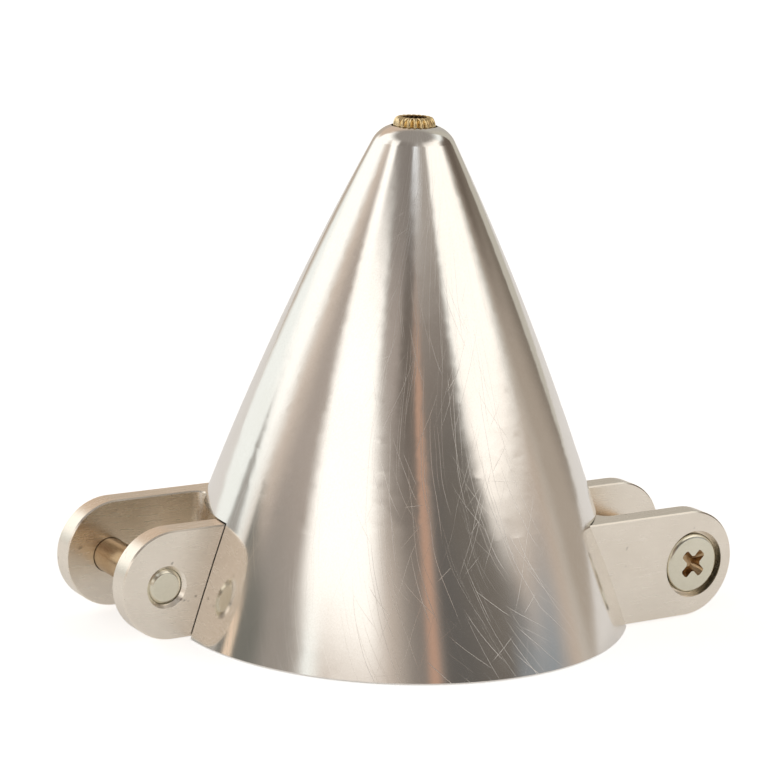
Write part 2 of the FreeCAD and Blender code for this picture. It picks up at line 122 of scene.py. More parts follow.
class Shader:
    """A short way to write a node tree."""

    def __init__(self, tree: bpy.types.NodeTree) -> None:
        """Starts on an emptied tree.

        Args:
            tree: the node tree of a material or a world.
        """
        self.tree = tree
        tree.nodes.clear()

    def node(self, kind: str, **settings: object) -> bpy.types.Node:
        """Adds a node and sets its properties.

        Args:
            kind: the node's type, without the leading "ShaderNode".
            settings: properties of the node.

        Returns:
            The new node.
        """
        made = self.tree.nodes.new("ShaderNode" + kind)
        for name, value in settings.items():
            setattr(made, name, value)
        return made

    def fed(self, kind: str, vector: Socket, **settings: object) -> bpy.types.Node:
        """Adds a node that takes a vector.

        Args:
            kind: the node's type, without the leading "ShaderNode".
            vector: what its Vector input is linked to.
            settings: properties of the node.

        Returns:
            The new node.
        """
        made = self.node(kind, **settings)
        self.plug(made.inputs["Vector"], vector)
        return made

    def plug(self, socket: Socket, value: object) -> None:
        """Links a socket to another, or sets its own value.

        Args:
            socket: the input.
            value: an output socket, a number, a vector or a colour.
        """
        if isinstance(value, bpy.types.NodeSocket):
            self.tree.links.new(value, socket)
        elif isinstance(value, tuple) and len(value) == 3 and socket.type == "RGBA":
            socket.default_value = (*value, 1.0)
        else:
            socket.default_value = value

    def math(self, operation: str, first: Value, second: Value = 0.0, third: Value = 0.0) -> Socket:
        """A Math node's result.

        Args:
            operation: the operation's name.
            first: first operand.
            second: second operand, if the operation takes one.
            third: third operand, if the operation takes one.

        Returns:
            The output socket.
        """
        made = self.node("Math", operation=operation)
        for socket, value in zip(made.inputs, (first, second, third)):
            self.plug(socket, value)
        return made.outputs[0]

    def step(self, value: Value, low: Value, high: Value, out: tuple[float, float] = (0.0, 1.0)) -> Socket:
        """A smooth step from low to high.

        Args:
            value: what is mapped.
            low: where the step starts.
            high: where the step ends.
            out: the results at those two ends.

        Returns:
            The output socket.
        """
        made = self.node("MapRange", interpolation_type="SMOOTHSTEP")
        for name, item in zip(
            ("Value", "From Min", "From Max", "To Min", "To Max"), (value, low, high, *out)
        ):
            self.plug(made.inputs[name], item)
        return made.outputs["Result"]

    def mix(self, share: Value, first: object, second: object) -> Socket:
        """A mix of two colours.

        Args:
            share: how much of the second colour.
            first: first colour or socket.
            second: second colour or socket.

        Returns:
            The output colour socket.
        """
        made = self.node("Mix", data_type="RGBA")
        self.plug(made.inputs[0], share)
        self.plug(made.inputs[6], first)
        self.plug(made.inputs[7], second)
        return made.outputs[2]

    def blend(self, share: Value, first: Value, second: Value) -> Socket:
        """A mix of two plain numbers.

        Args:
            share: how much of the second number.
            first: first number or socket.
            second: second number or socket.

        Returns:
            The output socket.
        """
        made = self.node("Mix", data_type="FLOAT")
        self.plug(made.inputs[0], share)
        self.plug(made.inputs[2], first)
        self.plug(made.inputs[3], second)
        return made.outputs[0]

    def noise(self, place: Socket, scale: float, detail: float = 3.0, roughness: float = 0.5) -> Socket:
        """A noise texture's factor.

        Args:
            place: the coordinates, in metres unless stretched.
            scale: cells per metre.
            detail: octaves.
            roughness: weight of the finer octaves.

        Returns:
            The factor socket.
        """
        made = self.fed("TexNoise", place)
        made.inputs["Scale"].default_value = scale
        made.inputs["Detail"].default_value = detail
        made.inputs["Roughness"].default_value = roughness
        return made.outputs[0]

    def mapped(self, place: Socket, change: str, values: Sequence[float]) -> Socket:
        """Coordinates after one change.

        Args:
            place: the coordinates.
            change: Rotation or Scale.
            values: how much of it about or along X, Y and Z.

        Returns:
            The output socket.
        """
        made = self.fed("Mapping", place)
        made.inputs[change].default_value = values
        return made.outputs[0]

    def turned(self, place: Socket, turn: Sequence[float]) -> Socket:
        """Coordinates turned by angles in degrees about X, Y and Z."""
        return self.mapped(place, "Rotation", [math.radians(angle) for angle in turn])

    def stretched(self, place: Socket, scale: Sequence[float]) -> Socket:
        """Coordinates multiplied by factors along X, Y and Z."""
        return self.mapped(place, "Scale", scale)

    def split(self, vector: Socket) -> tuple[Socket, ...]:
        """The X, Y and Z of a vector."""
        return tuple(self.fed("SeparateXYZ", vector).outputs)

    def join(self, x: Value, y: Value, z: Value = 0.0) -> Socket:
        """A vector of three numbers.

        Args:
            x: its X.
            y: its Y.
            z: its Z.

        Returns:
            The output socket.
        """
        made = self.node("CombineXYZ")
        for socket, value in zip(made.inputs, (x, y, z)):
            self.plug(socket, value)
        return made.outputs[0]

    def chance(self, x: Value, y: Value) -> Socket:
        """A number from 0 to 1 that is drawn for each pair."""
        return self.fed("TexWhiteNoise", self.join(x, y), noise_dimensions="2D").outputs["Value"]

    def chances(self, x: Value, y: Value, z: Value) -> tuple[Socket, ...]:
        """Three numbers from 0 to 1 that are drawn for each triple."""
        drawn = self.fed("TexWhiteNoise", self.join(x, y, z), noise_dimensions="3D")
        return self.split(drawn.outputs["Color"])

    def weighed(self, first: Socket, second: Socket, share: float) -> Socket:
        """The sum of a share of the first number and the rest of the second."""
        rest = self.math("MULTIPLY", second, 1.0 - share)
        return self.math("MULTIPLY_ADD", first, share, rest)

    def bump(self, height: Socket, depth: float, below: Optional[Socket] = None) -> Socket:
        """A bump normal.

        Args:
            height: the height, from 0 to 1.
            depth: the depth of a full step, in metres.
            below: the normal of the layer below.

        Returns:
            The normal socket.
        """
        made = self.node("Bump")
        made.inputs["Distance"].default_value = depth
        self.plug(made.inputs["Height"], height)
        if below is not None:
            self.plug(made.inputs["Normal"], below)
        return made.outputs[0]


def metal_material(name: str) -> tuple[bpy.types.Material, Shader, bpy.types.Node]:
    """Starts a metal material.

    Args:
        name: the material's name.

    Returns:
        The material, its tree, and its surface node, which feeds the output.
    """
    made = bpy.data.materials.new(name)
    made.use_nodes = True
    shader = Shader(made.node_tree)
    surface = shader.node("BsdfPrincipled")
    surface.inputs["Metallic"].default_value = 1.0
    output = shader.node("OutputMaterial")
    shader.plug(output.inputs["Surface"], surface.outputs[0])
    return made, shader, surface


@dataclass(frozen=True)
class MetalFinish:
    """A bare or plated metal surface, with what its making and handling left on it.

    Scales are cells per metre.  A grain that runs along an axis has a low number there.
    """

    name: str
    slot: Slot
    colour: Colour
    shade: Colour
    roughness: float
    haze: float
    grain: tuple[float, float, float]
    grain_depth: float
    cloud_scale: float = 260.0
    cloud_share: float = 0.6
    tone_range: tuple[float, float] = (0.3, 0.7)
    nicks: float = 0.0
    nick_scale: tuple[float, float, float] = (900.0, 1500.0, 1500.0)
    nick_turn: tuple[float, float, float] = (0.0, 38.0, 0.0)
    nick_range: tuple[float, float] = (0.72, 0.80)
    nick_colour: Colour = (0.20, 0.17, 0.14)

    def nicked(self, shader: Shader, place: Socket, colour: Socket) -> Socket:
        """The colour with dark nicks strewn over it.

        Args:
            shader: the material's tree.
            place: the coordinates.
            colour: the colour without them.

        Returns:
            The colour socket.
        """
        laid = shader.stretched(shader.turned(place, self.nick_turn), self.nick_scale)
        spots = shader.step(shader.noise(laid, 1.0, 2.0, 0.4), *self.nick_range, (0.0, self.nicks))
        return shader.mix(spots, colour, self.nick_colour)

    def material(self) -> bpy.types.Material:
        """Builds the material.

        Returns:
            The new material, with noise in its colour, roughness and bump.
        """
        made, shader, surface = metal_material(self.name)
        place = shader.node("TexCoord").outputs["Object"]
        clouds = shader.noise(place, self.cloud_scale, 4.0)
        grain = shader.noise(shader.stretched(place, self.grain), 1.0, 3.0, 0.6)
        tone = shader.step(shader.weighed(clouds, grain, self.cloud_share), *self.tone_range)
        colour = shader.mix(tone, self.shade, self.colour)
        if self.nicks:
            colour = self.nicked(shader, place, colour)
        rough = shader.math("MULTIPLY_ADD", grain, self.haze, self.roughness - self.haze / 2)
        shader.plug(surface.inputs["Base Color"], colour)
        shader.plug(surface.inputs["Roughness"], rough)
        shader.plug(surface.inputs["Normal"], shader.bump(grain, self.grain_depth))
        return made


@dataclass(frozen=True)
class ScratchFamily:
    """Hairlines that run roughly one way over the unrolled cone, each with its own length and place.

    A family lies in rows a spacing apart, and each row is cut into runs.  A run has one hairline or none.
    """

    turn: float      # how far the sheet is turned, in degrees, to lay the rows along X
    run: float
    spacing: float
    width: float
    curve: float     # sideways bend in metres for each square metre along the row
    kept: float      # share of the runs that have a hairline
    seed: float


@dataclass(frozen=True)
class PolishedFinish:
    """Hand-polished aluminium: a hazy mirror with stray scratches, most of them where it was wiped."""

    name: str = "polished_aluminium_skin"
    slot: Slot = Slot.POLISHED
    colour: Colour = (0.92, 0.895, 0.86)
    shade: Colour = (0.88, 0.85, 0.805)
    roughness: float = 0.115
    cloud_haze: float = 0.05
    scratch_roughness: float = 0.42
    anisotropy: float = 0.30
    anisotropy_turn: float = 0.25       # share of a full turn
    cloud_scale: float = 160.0
    mottle_scale: float = 1700.0
    speckle_scale: float = 6200.0
    cloud_share: float = 0.45
    tone_range: tuple[float, float] = (0.35, 0.65)
    mottle_depth: float = 0.22e-6
    speckle_depth: float = 0.16e-6
    scratch_depth: float = 0.7e-6
    unroll_radius: float = 14.0 * MM
    wiped_bearing: float = -14.0        # of the side with the most scratches
    wiped_reach: tuple[float, float] = (12.0, 38.4)    # from there to where they thin out
    unwiped_share: float = 0.22
    wave_scale: float = 110.0
    wave_depth: float = 1.2 * MM
    row_shift: float = 7.0              # in runs
    row_margin: float = 0.2             # share of a row that stays clear at either side
    half_lengths: tuple[float, float] = (0.17, 0.47)   # of a hairline, in runs
    core_width: float = 0.3             # share of its width at full strength
    core_length: float = 0.45           # share of its length at full strength
    families: tuple[ScratchFamily, ...] = (
        ScratchFamily(62.0, 16.0 * MM, 0.26 * MM, 0.027 * MM, -14.0, 0.66, 3.0),
        ScratchFamily(51.0, 12.0 * MM, 0.30 * MM, 0.026 * MM, -20.0, 0.62, 17.0),
        ScratchFamily(38.0, 7.0 * MM, 0.45 * MM, 0.028 * MM, -16.0, 0.46, 23.0),
        ScratchFamily(-78.0, 17.0 * MM, 0.38 * MM, 0.020 * MM, 6.0, 0.44, 31.0),
        ScratchFamily(-50.0, 4.0 * MM, 1.10 * MM, 0.030 * MM, 0.0, 0.16, 59.0),
        ScratchFamily(10.0, 4.0 * MM, 1.30 * MM, 0.024 * MM, 20.0, 0.12, 71.0),
    )

    def row_of(self, shader: Shader, sheet: Socket, family: ScratchFamily) -> tuple[Socket, Socket]:
        """Where a place lies in a family's bent and wavy rows.

        Args:
            shader: the material's tree.
            sheet: place on the unrolled cone.
            family: how the rows run.

        Returns:
            The row's number with the place in it as the fraction, and the same for the run in that row.
        """
        turned = shader.turned(sheet, (0.0, 0.0, family.turn))
        along, across, _ = shader.split(turned)
        wave = shader.math("SUBTRACT", shader.noise(turned, self.wave_scale, 1.0), 0.5)
        bow = shader.math("MULTIPLY", shader.math("MULTIPLY", along, along), family.curve)
        bent = shader.math("ADD", shader.math("MULTIPLY_ADD", wave, self.wave_depth, across), bow)
        row = shader.math("DIVIDE", bent, family.spacing)
        drawn = shader.chance(shader.math("FLOOR", row), family.seed)
        shift = shader.math("MULTIPLY", drawn, self.row_shift)
        return row, shader.math("ADD", shader.math("DIVIDE", along, family.run), shift)

    def hairlines(self, shader: Shader, sheet: Socket, family: ScratchFamily) -> Socket:
        """One family of hairlines on the unrolled cone.

        Args:
            shader: the material's tree.
            sheet: place on the unrolled cone, in metres.
            family: how the lines run.

        Returns:
            A socket that is 0 beside the scratches and up to 1 in them.
        """
        row, run = self.row_of(shader, sheet, family)
        middle, length, presence = shader.chances(
            shader.math("FLOOR", row), shader.math("FLOOR", run), family.seed
        )
        centre = shader.math("MULTIPLY_ADD", middle, 1.0 - 2.0 * self.row_margin, self.row_margin)
        aside = shader.math("ABSOLUTE", shader.math("SUBTRACT", shader.math("FRACT", row), centre))
        width = family.width / family.spacing
        line = shader.step(aside, self.core_width * width, width, (1.0, 0.0))
        reach = shader.math("ABSOLUTE", shader.math("SUBTRACT", shader.math("FRACT", run), 0.5))
        shortest, longest = self.half_lengths
        half_length = shader.math("MULTIPLY_ADD", length, longest - shortest, shortest)
        core = shader.math("MULTIPLY", half_length, self.core_length)
        faded = shader.step(reach, core, half_length, (1.0, 0.0))
        depth = shader.step(presence, 1.0 - family.kept, 1.0)
        return shader.math("MULTIPLY", shader.math("MULTIPLY", line, faded), depth)

    def scratches(self, shader: Shader, place: Socket) -> Socket:
        """All the hairlines, densest round the wiped bearing.

        Args:
            shader: the material's tree.
            place: the coordinates.

        Returns:
            A socket that is 0 beside the scratches and up to 1 in them.
        """
        x, y, z = shader.split(place)
        bearing = shader.math("ARCTAN2", x, shader.math("MULTIPLY", y, -1.0))
        sheet = shader.join(shader.math("MULTIPLY", bearing, self.unroll_radius), z)
        found: Value = 0.0
        for family in self.families:
            found = shader.math("MAXIMUM", self.hairlines(shader, sheet, family), found)
        off = shader.math("SUBTRACT", shader.math("DEGREES", bearing), self.wiped_bearing)
        wiped = shader.step(shader.math("ABSOLUTE", off), *self.wiped_reach, (1.0, self.unwiped_share))
        return shader.math("MULTIPLY", found, wiped)

    def material(self) -> bpy.types.Material:
        """Builds the material.

        Returns:
            The new material.
        """
        made, shader, surface = metal_material(self.name)
        surface.inputs["Anisotropic"].default_value = self.anisotropy
        surface.inputs["Anisotropic Rotation"].default_value = self.anisotropy_turn
        tangent = shader.node("Tangent", direction_type="RADIAL", axis="Z")
        shader.plug(surface.inputs["Tangent"], tangent.outputs[0])
        place = shader.node("TexCoord").outputs["Object"]
        scratches = self.scratches(shader, place)
        clouds = shader.noise(place, self.cloud_scale, 5.0, 0.6)
        mottle = shader.noise(place, self.mottle_scale, 3.0, 0.6)
        speckle = shader.noise(place, self.speckle_scale, 2.0, 0.7)
        tone = shader.step(shader.weighed(clouds, speckle, self.cloud_share), *self.tone_range)
        shader.plug(surface.inputs["Base Color"], shader.mix(tone, self.shade, self.colour))
        hazy = shader.math("MULTIPLY_ADD", clouds, self.cloud_haze, self.roughness - self.cloud_haze / 2)
        shader.plug(surface.inputs["Roughness"], shader.blend(scratches, hazy, self.scratch_roughness))
        normal = shader.bump(mottle, self.mottle_depth)
        normal = shader.bump(speckle, self.speckle_depth, normal)
        shader.plug(surface.inputs["Normal"], shader.bump(scratches, self.scratch_depth, normal))
        return made


MILLED = MetalFinish(
    "milled_aluminium_skin", Slot.MILLED, (0.97, 0.905, 0.81), (0.89, 0.825, 0.73),
    0.26, 0.12, (500.0, 9000.0, 5200.0), 1.2e-6, nicks=0.55,
)
PLATED = MetalFinish(
    "plated_steel_skin", Slot.PLATED, (0.85, 0.82, 0.70), (0.76, 0.73, 0.60),
    0.20, 0.08, (4000.0, 4000.0, 4000.0), 0.8e-6,
)
# Painted light: a darker brown over the plating's own yellowish colour, standing in for the shade in the
# cross recess and a warm reflection on the shank.
SHADE_AND_WARM_REFLECTION = MetalFinish(
    "recess_shade_and_shank_reflection_skin", Slot.PLATED, (0.58, 0.43, 0.27), (0.42, 0.29, 0.16),
    0.24, 0.10, (5000.0, 5000.0, 5000.0), 0.8e-6,
)
YELLOW = MetalFinish(
    "yellow_steel_skin", Slot.YELLOW, (0.95, 0.80, 0.52), (0.78, 0.58, 0.28),
    0.24, 0.06, (2500.0, 2500.0, 2500.0), 0.4e-6,
)
# Painted shade: this dark brown stands in for the shade in the hollow of the nose screw's head.
SHADED = MetalFinish(
    "shaded_steel_skin", Slot.YELLOW, (0.16, 0.11, 0.06), (0.09, 0.06, 0.035),
    0.35, 0.10, (4000.0, 4000.0, 4000.0), 0.5e-6,
)


class FinishShelf:
    """Builds each finish when it is first asked for, and hands out the same material after that."""

    def __init__(self) -> None:
        """Starts empty."""
        self.made: dict[str, bpy.types.Material] = {}

    def take(self, finish: Union[MetalFinish, PolishedFinish]) -> bpy.types.Material:
        """Hands out a finish's material.

        Args:
            finish: the finish.

        Returns:
            Its material, the same one each time.
        """
        if finish.name not in self.made:
            self.made[finish.name] = finish.material()
        return self.made[finish.name]

    def dress(self, piece: bpy.types.Object, finish: Union[MetalFinish, PolishedFinish]) -> None:
        """Gives every material slot of a frame's piece that finish.

        Args:
            piece: the piece.
            finish: its finish.
        """
        for entry in piece.material_slots:
            entry.link = "OBJECT"
            entry.material = self.take(finish)
        LOG.info("%s: %s on %s", piece.name, finish.name, finish.slot.value)


@dataclass
class StudioCamera:
    """A long lens on a low stand, a little to the left of the spinner's front."""

    distance: float = 237.6 * MM
    height: float = 74.6 * MM
    azimuth: float = -32.66
    tilt: float = 13.06
    swing: float = -0.29
    roll: float = 2.12
    lens: float = 132.2
    sensor: float = 36.0
    clip: tuple[float, float] = (0.01, 50.0)

    def build(self) -> bpy.types.Object:
        """Makes the camera and hands it to the scene.

        Returns:
            The camera's object.
        """
        turn = math.radians(self.azimuth)
        place = Vector((math.sin(turn) * self.distance, -math.cos(turn) * self.distance, self.height))
        heading = Matrix.Rotation(turn - math.radians(self.swing), 3, "Z")
        pitch = Matrix.Rotation(math.radians(90.0 - self.tilt), 3, "X")
        roll = Matrix.Rotation(math.radians(self.roll), 3, "Z")
        data = bpy.data.cameras.new("studio_camera")
        data.sensor_width = self.sensor
        data.lens = self.lens
        data.clip_start, data.clip_end = self.clip
        data.dof.use_dof = False
        made = bpy.data.objects.new("studio_camera", data)
        made.matrix_world = Matrix.Translation(place) @ (heading @ pitch @ roll).to_4x4()
        bpy.context.scene.collection.objects.link(made)
        bpy.context.scene.camera = made
        return made


@dataclass(frozen=True)
class Card:
    """One light or dark area of the room, by bearing and height above the horizon, in degrees.

    Bearings start at the camera's side of the spinner and grow towards the camera's right.  An edge
    fades over its softness to either side.  A leaning edge stands at its own bearing at the height
    lean_from, and moves by its lean for each degree above that.
    """

    name: str
    left: float
    right: float
    bottom: float
    top: float
    colour: Colour
    left_soft: float = 6.0
    right_soft: float = 6.0
    bottom_soft: float = 5.0
    top_soft: float = 5.0
    left_lean: float = 0.0
    right_lean: float = 0.0
    lean_from: float = 25.0


@dataclass
class Studio:
    """The room: soft boxes at both sides, the dim sides with the camera and behind, and a white floor.

    A later card covers the ones before it.
    """

    front_azimuth: float
    room: Colour = (0.97, 1.0, 0.97)
    floor_albedo: Colour = (0.80, 0.80, 0.80)
    floor_glow: float = 0.66
    floor_reflected_glow: float = 0.27
    floor_radius: float = 3.0
    floor_drop: float = 0.05 * MM
    floor_corners: int = 48
    cards: tuple[Card, ...] = (
        Card("left_wash", -190, -94, 11, 90, (1.22, 1.20, 1.15), 2, 9, 3, 8, 0.0, 0.3),
        Card("taupe_wall", -94, -60, -10, 60, (0.68, 0.58, 0.50), 8, 5, 8, 30, 0.3, -0.9),
        Card("taupe_shade", -82, -58, -10, 40, (0.42, 0.365, 0.325), 10, 5, 8, 14, 0.4, -0.9),
        Card("taupe_low", -80, -48, -10, 16, (0.33, 0.30, 0.27), 9, 6, 5, 3.5, 0.0, 0.0),
        Card("low_dark", -96, -69, -14, 12, (0.18, 0.178, 0.158), 1.5, 7, 2, 0.9),
        Card("peach_strip", -90.5, -85, -14, 8.5, (0.95, 0.74, 0.56), 0.7, 0.7, 2, 0.6),
        Card("left_strip", -115.5, -107, -14, 10, (0.37, 0.355, 0.33), 1.2, 2.5, 2, 1.0, 0.0, -3.0, 8.0),
        Card("low_pale", -46, 30, -10, 30, (0.60, 0.52, 0.455), 5, 4, 5, 9, -0.7, 0.0),
        Card("left_box", -62, -15, 16, 90, (1.28, 1.24, 1.18), 6, 7, 3, 5, -1.0, -1.05),
        Card("dim_side", -9, 48, 23, 90, (0.235, 0.203, 0.178), 8, 4, 5, 5, -1.1, -0.6),
        Card("dim_low", 2, 62, -10, 25, (0.25, 0.222, 0.198), 9, 6, 5, 4, -0.3, -1.2),
        Card("dim_left", -25, -6, 29, 90, (0.41, 0.355, 0.32), 5, 6, 5, 5, -1.1, 0.0, 35.0),
        Card("grey_pane", 8, 40, 36, 90, (0.42, 0.38, 0.345), 4, 3, 5, 5),
        Card("pale_pane", 8, 19, 42, 90, (0.60, 0.59, 0.575), 3, 3, 4, 5),
        Card("dark_line", -1, 10, 23, 90, (0.165, 0.14, 0.12), 4, 4, 6, 5, -0.5, -0.6, 30.0),
        Card("dark_corner", 22, 56, -10, 28, (0.128, 0.12, 0.112), 2, 6, 5, 4, -0.5, -1.8, 22.0),
        Card("salmon_strip", 12.5, 18.0, -10, 35, (0.55, 0.345, 0.25), 1.6, 1.6, 5, 4, -0.55, -0.5),
        Card("right_box", 48.5, 97, 17, 90, (1.26, 1.19, 1.11), 6.5, 8, 4.5, 5, -0.5, 0.2, 28.0),
        Card("warm_low", 68, 107, -10, 17, (0.55, 0.455, 0.38), 8, 9, 8, 5, -0.8, 0.0, 14.0),
        Card("dark_edge", 30, 54, 8, 27, (0.165, 0.147, 0.128), 8, 4, 3, 4, -1.8, -1.8, 22.0),
        Card("blue_low", 62, 92, -10, 11, (0.29, 0.32, 0.345), 4, 9, 5, 4),
        Card("brown_fade", 101, 138, -10, 36, (0.42, 0.36, 0.30), 8, 1.2, 3, 8, -0.3, 0.0, 14.0),
        Card("brown_wall", 119, 138, -10, 36, (0.20, 0.168, 0.135), 10, 1.2, 3, 8, -1.0, 0.0, 16.0),
        Card("brown_dark", 108, 138, 16, 36, (0.14, 0.112, 0.09), 8, 1.2, 4, 8, -1.0, 0.0, 20.0),
        Card("right_sweep", 138, 200, -3, 90, (0.54, 0.51, 0.44), 1.2, 1.2, 2, 5),
        Card("back_right", 158, 200, -10, 90, (0.49, 0.465, 0.42), 7, 1.2, 2, 5),
        Card("back_left", -200, -146, -10, 90, (0.52, 0.445, 0.37), 1.2, 6, 2, 5),
        Card("back_peach", -200, -136, 22, 50, (0.66, 0.52, 0.41), 1.2, 4, 5, 8),
        Card("overhead", -200, 200, 54, 90, (0.31, 0.285, 0.26), 1.2, 1.2, 9, 5),
        Card("crown_dark", -54, -2, 38, 60, (0.24, 0.215, 0.195), 5, 4, 4, 6),
        Card("crown_pane", -1, 13, 43, 51, (1.02, 1.05, 1.08), 5, 5, 2.5, 4),
    )

    def direction(self, shader: Shader) -> tuple[Socket, Socket]:
        """Bearing from the camera's side, and height above the horizon, in degrees.

        Args:
            shader: the world's tree.

        Returns:
            The bearing and height sockets.
        """
        x, y, z = shader.split(shader.node("TexCoord").outputs["Generated"])
        turn = math.radians(self.front_azimuth)
        side = shader.math("MULTIPLY_ADD", x, math.cos(turn), shader.math("MULTIPLY", y, math.sin(turn)))
        front = shader.math("MULTIPLY_ADD", x, math.sin(turn), shader.math("MULTIPLY", y, -math.cos(turn)))
        bearing = shader.math("DEGREES", shader.math("ARCTAN2", side, front))
        height = shader.math("DEGREES", shader.math("ARCSINE", z))
        return bearing, height

    def leant(self, shader: Shader, card: Card, bearing: Socket, height: Socket, lean: float) -> Socket:
        """The bearing as a card's leaning edge measures it.

        Args:
            shader: the world's tree.
            card: the card.
            bearing: bearing socket.
            height: height socket.
            lean: degrees of bearing for each degree of height.

        Returns:
            The shifted bearing.
        """
        if lean == 0.0:
            return bearing
        level = shader.math("ADD", bearing, card.lean_from * lean)
        return shader.math("MULTIPLY_ADD", height, -lean, level)

    def mask(self, shader: Shader, card: Card, bearing: Socket, height: Socket) -> Socket:
        """How much of a card a direction meets.

        Args:
            shader: the world's tree.
            card: the card.
            bearing: bearing socket.
            height: height socket.

        Returns:
            A socket from 0 off the card to 1 on it.
        """
        from_left = self.leant(shader, card, bearing, height, card.left_lean)
        from_right = self.leant(shader, card, bearing, height, card.right_lean)
        edges = [
            shader.step(from_left, card.left - card.left_soft, card.left + card.left_soft),
            shader.step(from_right, card.right - card.right_soft, card.right + card.right_soft, (1.0, 0.0)),
        ]
        if card.bottom > FLOOR_SIDE:
            low, high = card.bottom - card.bottom_soft, card.bottom + card.bottom_soft
            edges.append(shader.step(height, low, high))
        if card.top < ZENITH:
            low, high = card.top - card.top_soft, card.top + card.top_soft
            edges.append(shader.step(height, low, high, (1.0, 0.0)))
        result = edges[0]
        for edge in edges[1:]:
            result = shader.math("MULTIPLY", edge, result)
        return result

    def build_world(self) -> None:
        """Makes the room that the metal reflects, and the white that the camera sees."""
        world = bpy.data.worlds.new("studio_room")
        world.use_nodes = True
        bpy.context.scene.world = world
        shader = Shader(world.node_tree)
        bearing, height = self.direction(shader)
        colour: object = self.room
        for card in self.cards:
            colour = shader.mix(self.mask(shader, card, bearing, height), colour, card.colour)
        room = shader.node("Background")
        shader.plug(room.inputs["Color"], colour)
        white = shader.node("Background")
        shader.plug(white.inputs["Color"], (1.0, 1.0, 1.0))
        pick = shader.node("MixShader")
        shader.plug(pick.inputs[0], shader.node("LightPath").outputs["Is Camera Ray"])
        shader.plug(pick.inputs[1], room.outputs[0])
        shader.plug(pick.inputs[2], white.outputs[0])
        output = shader.node("OutputWorld")
        shader.plug(output.inputs["Surface"], pick.outputs[0])

    def build_floor(self) -> bpy.types.Object:
        """Makes the white table that the rim stands on.

        Returns:
            The floor's object.
        """
        ring = [(*polar(self.floor_radius, angle), 0.0) for angle in even_angles(self.floor_corners)]
        mesh = bpy.data.meshes.new("studio_floor")
        mesh.from_pydata(ring, [], [list(range(self.floor_corners))])
        made = bpy.data.objects.new("studio_floor", mesh)
        bpy.context.scene.collection.objects.link(made)
        made.location.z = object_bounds()[0].z - self.floor_drop
        mesh.materials.append(self.paper())
        made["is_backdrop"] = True
        return made

    def paper(self) -> bpy.types.Material:
        """White paper, which glows a little for the camera and in mirrors, and takes shadows.

        Returns:
            The new material.
        """
        made = bpy.data.materials.new("white_paper")
        made.use_nodes = True
        shader = Shader(made.node_tree)
        matte = shader.node("BsdfDiffuse")
        shader.plug(matte.inputs["Color"], self.floor_albedo)
        rays = shader.node("LightPath").outputs
        mirrored = shader.math("MAXIMUM", rays["Is Glossy Ray"], rays["Is Transmission Ray"])
        reflected = shader.math("MULTIPLY", mirrored, self.floor_reflected_glow)
        glow = shader.node("Emission")
        shader.plug(glow.inputs["Color"], (1.0, 1.0, 1.0))
        strength = shader.math("MULTIPLY_ADD", rays["Is Camera Ray"], self.floor_glow, reflected)
        shader.plug(glow.inputs["Strength"], strength)
        total = shader.node("AddShader")
        shader.plug(total.inputs[0], matte.outputs[0])
        shader.plug(total.inputs[1], glow.outputs[0])
        output = shader.node("OutputMaterial")
        shader.plug(output.inputs["Surface"], total.outputs[0])
        return made

    def build(self) -> None:
        """Makes the room and the floor."""
        self.build_world()
        self.build_floor()


@dataclass
class SpinnerShell:
    """The polished cone."""

    node: str = "spinner_cone"
    finish: PolishedFinish = field(default_factory=PolishedFinish)

    def build(self, nodes: dict[str, bpy.types.Object], shelf: FinishShelf) -> None:
        """Dresses the cone."""
        shelf.dress(nodes[self.node], self.finish)


def turned_mesh(name: str, outline: Outline, steps: int, swell: Optional[Swell] = None) -> bpy.types.Mesh:
    """A closed turned body about Z.

    Args:
        name: the mesh's name.
        outline: radius and height of each ring, from pole to pole upwards.  A pole has radius 0.
        steps: corners of a ring.
        swell: gives the radius at an angle from the ring's radius, its height and the angle.

    Returns:
        The mesh.
    """
    corners: list[tuple[float, float, float]] = []
    rings: list[list[int]] = []
    for radius, height in outline:
        first = len(corners)
        if radius == 0.0:
            corners.append((0.0, 0.0, height))
        else:
            for angle in even_angles(steps):
                out = swell(radius, height, angle) if swell else radius
                corners.append((*polar(out, angle), height))
        rings.append(list(range(first, len(corners))))
    faces: list[list[int]] = []
    for lower, upper in zip(rings, rings[1:]):
        for near in range(steps):
            far = (near + 1) % steps
            if len(lower) == 1:
                faces.append([lower[0], upper[far], upper[near]])
            elif len(upper) == 1:
                faces.append([lower[near], lower[far], upper[0]])
            else:
                faces.append([lower[near], lower[far], upper[far], upper[near]])
    mesh = bpy.data.meshes.new(name)
    mesh.from_pydata(corners, [], faces)
    return mesh


def lofted_mesh(name: str, sections: Sequence[tuple[float, Outline]]) -> bpy.types.Mesh:
    """A closed loft through outlines with the same number of corners.

    Args:
        name: the mesh's name.
        sections: the height and the outline of each section, from the lowest up.

    Returns:
        The mesh.
    """
    count = len(sections[0][1])
    corners = [(x, y, height) for height, outline in sections for x, y in outline]
    faces = [
        [base + here, base + (here + 1) % count, base + count + (here + 1) % count, base + count + here]
        for base in range(0, (len(sections) - 1) * count, count)
        for here in range(count)
    ]
    faces.append(list(range(count))[::-1])
    faces.append(list(range((len(sections) - 1) * count, len(sections) * count)))
    mesh = bpy.data.meshes.new(name)
    mesh.from_pydata(corners, [], faces)
    return mesh


